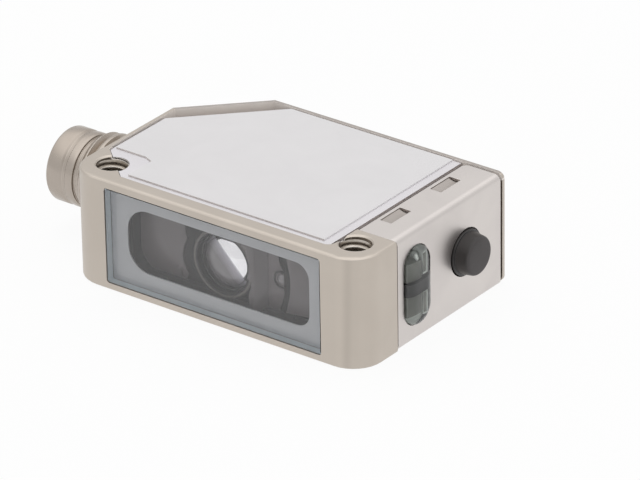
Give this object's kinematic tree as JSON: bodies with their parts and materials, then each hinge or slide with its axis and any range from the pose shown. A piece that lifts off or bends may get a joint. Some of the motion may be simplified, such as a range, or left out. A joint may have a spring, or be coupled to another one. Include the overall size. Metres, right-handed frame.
{
  "type": "reflective mark sensor",
  "caption": "Compact metal optical mark sensor with a glass window, mounting bosses, round plug connector, indicator window and push button.",
  "frame": {"origin": "under the middle of the overall box, on the broad side the sensor lies on", "axes": "+X along the optical face from the plug to the push button, +Y from the optical face to the back, +Z through the thickness"},
  "size_m": [0.057, 0.03, 0.015],
  "materials": {
    "black_plastic": "satin moulding",
    "black_rubber": "matte",
    "board_green": "solder mask",
    "chip_black": "moulded package",
    "cover_steel": "semi-gloss sheet",
    "flex_amber": "amber film",
    "gold_plate": "gold plate on brass",
    "label_white": "satin white film",
    "led_white": "moulded package",
    "lens_glass": "clear",
    "nickel_brass": "satin nickel plate on brass",
    "plate_steel": "bright sheet",
    "satin_nickel": "satin nickel plate on cast metal",
    "smoked_plastic": "smoked clear moulding",
    "window_glass": "clear",
    "window_mask": "grey border"
  },
  "bodies": {
    "sensor_body": {"housing": "satin_nickel", "side_plate": "plate_steel", "label_film": "label_white", "end_cover": "cover_steel", "front_glass": "window_glass", "window_mask": "window_mask", "window_gasket": "black_rubber", "optics_carrier": "black_plastic", "main_lens": "lens_glass", "lens_ring": "black_plastic", "monitor_lens": "lens_glass", "beam_splitter": "lens_glass", "emitter_lens": "lens_glass", "emitter_led": "led_white", "emitter_board": "board_green", "aperture_plate": "black_plastic", "receiver_diode": "chip_black", "main_board": "board_green", "processor_chip": "chip_black", "driver_chip": "chip_black", "board_link": "chip_black", "end_board": "board_green", "indicator_led_upper": "led_white", "indicator_led_lower": "led_white", "tact_switch": "chip_black", "end_wall": "black_plastic", "light_pipe": "smoked_plastic", "light_pipe_divider": "black_plastic", "connector_shell": "nickel_brass", "connector_insert": "black_plastic", "contact_pin_1": "gold_plate", "contact_pin_2": "gold_plate", "contact_pin_3": "gold_plate", "contact_pin_4": "gold_plate", "connector_seal": "black_rubber", "connector_nut": "nickel_brass", "connector_board": "board_green", "flex_strip": "flex_amber"},
    "button": {"button_cap": "black_plastic", "switch_plunger": "black_plastic"}
  },
  "joints": [
    {"name": "button_press", "type": "slide", "parent": "sensor_body", "child": "button", "axis": [-1, 0, 0], "range_m": [0, 0.0005], "stiffness_N_per_m": 1000, "springref_m": -0.0005}
  ]
}
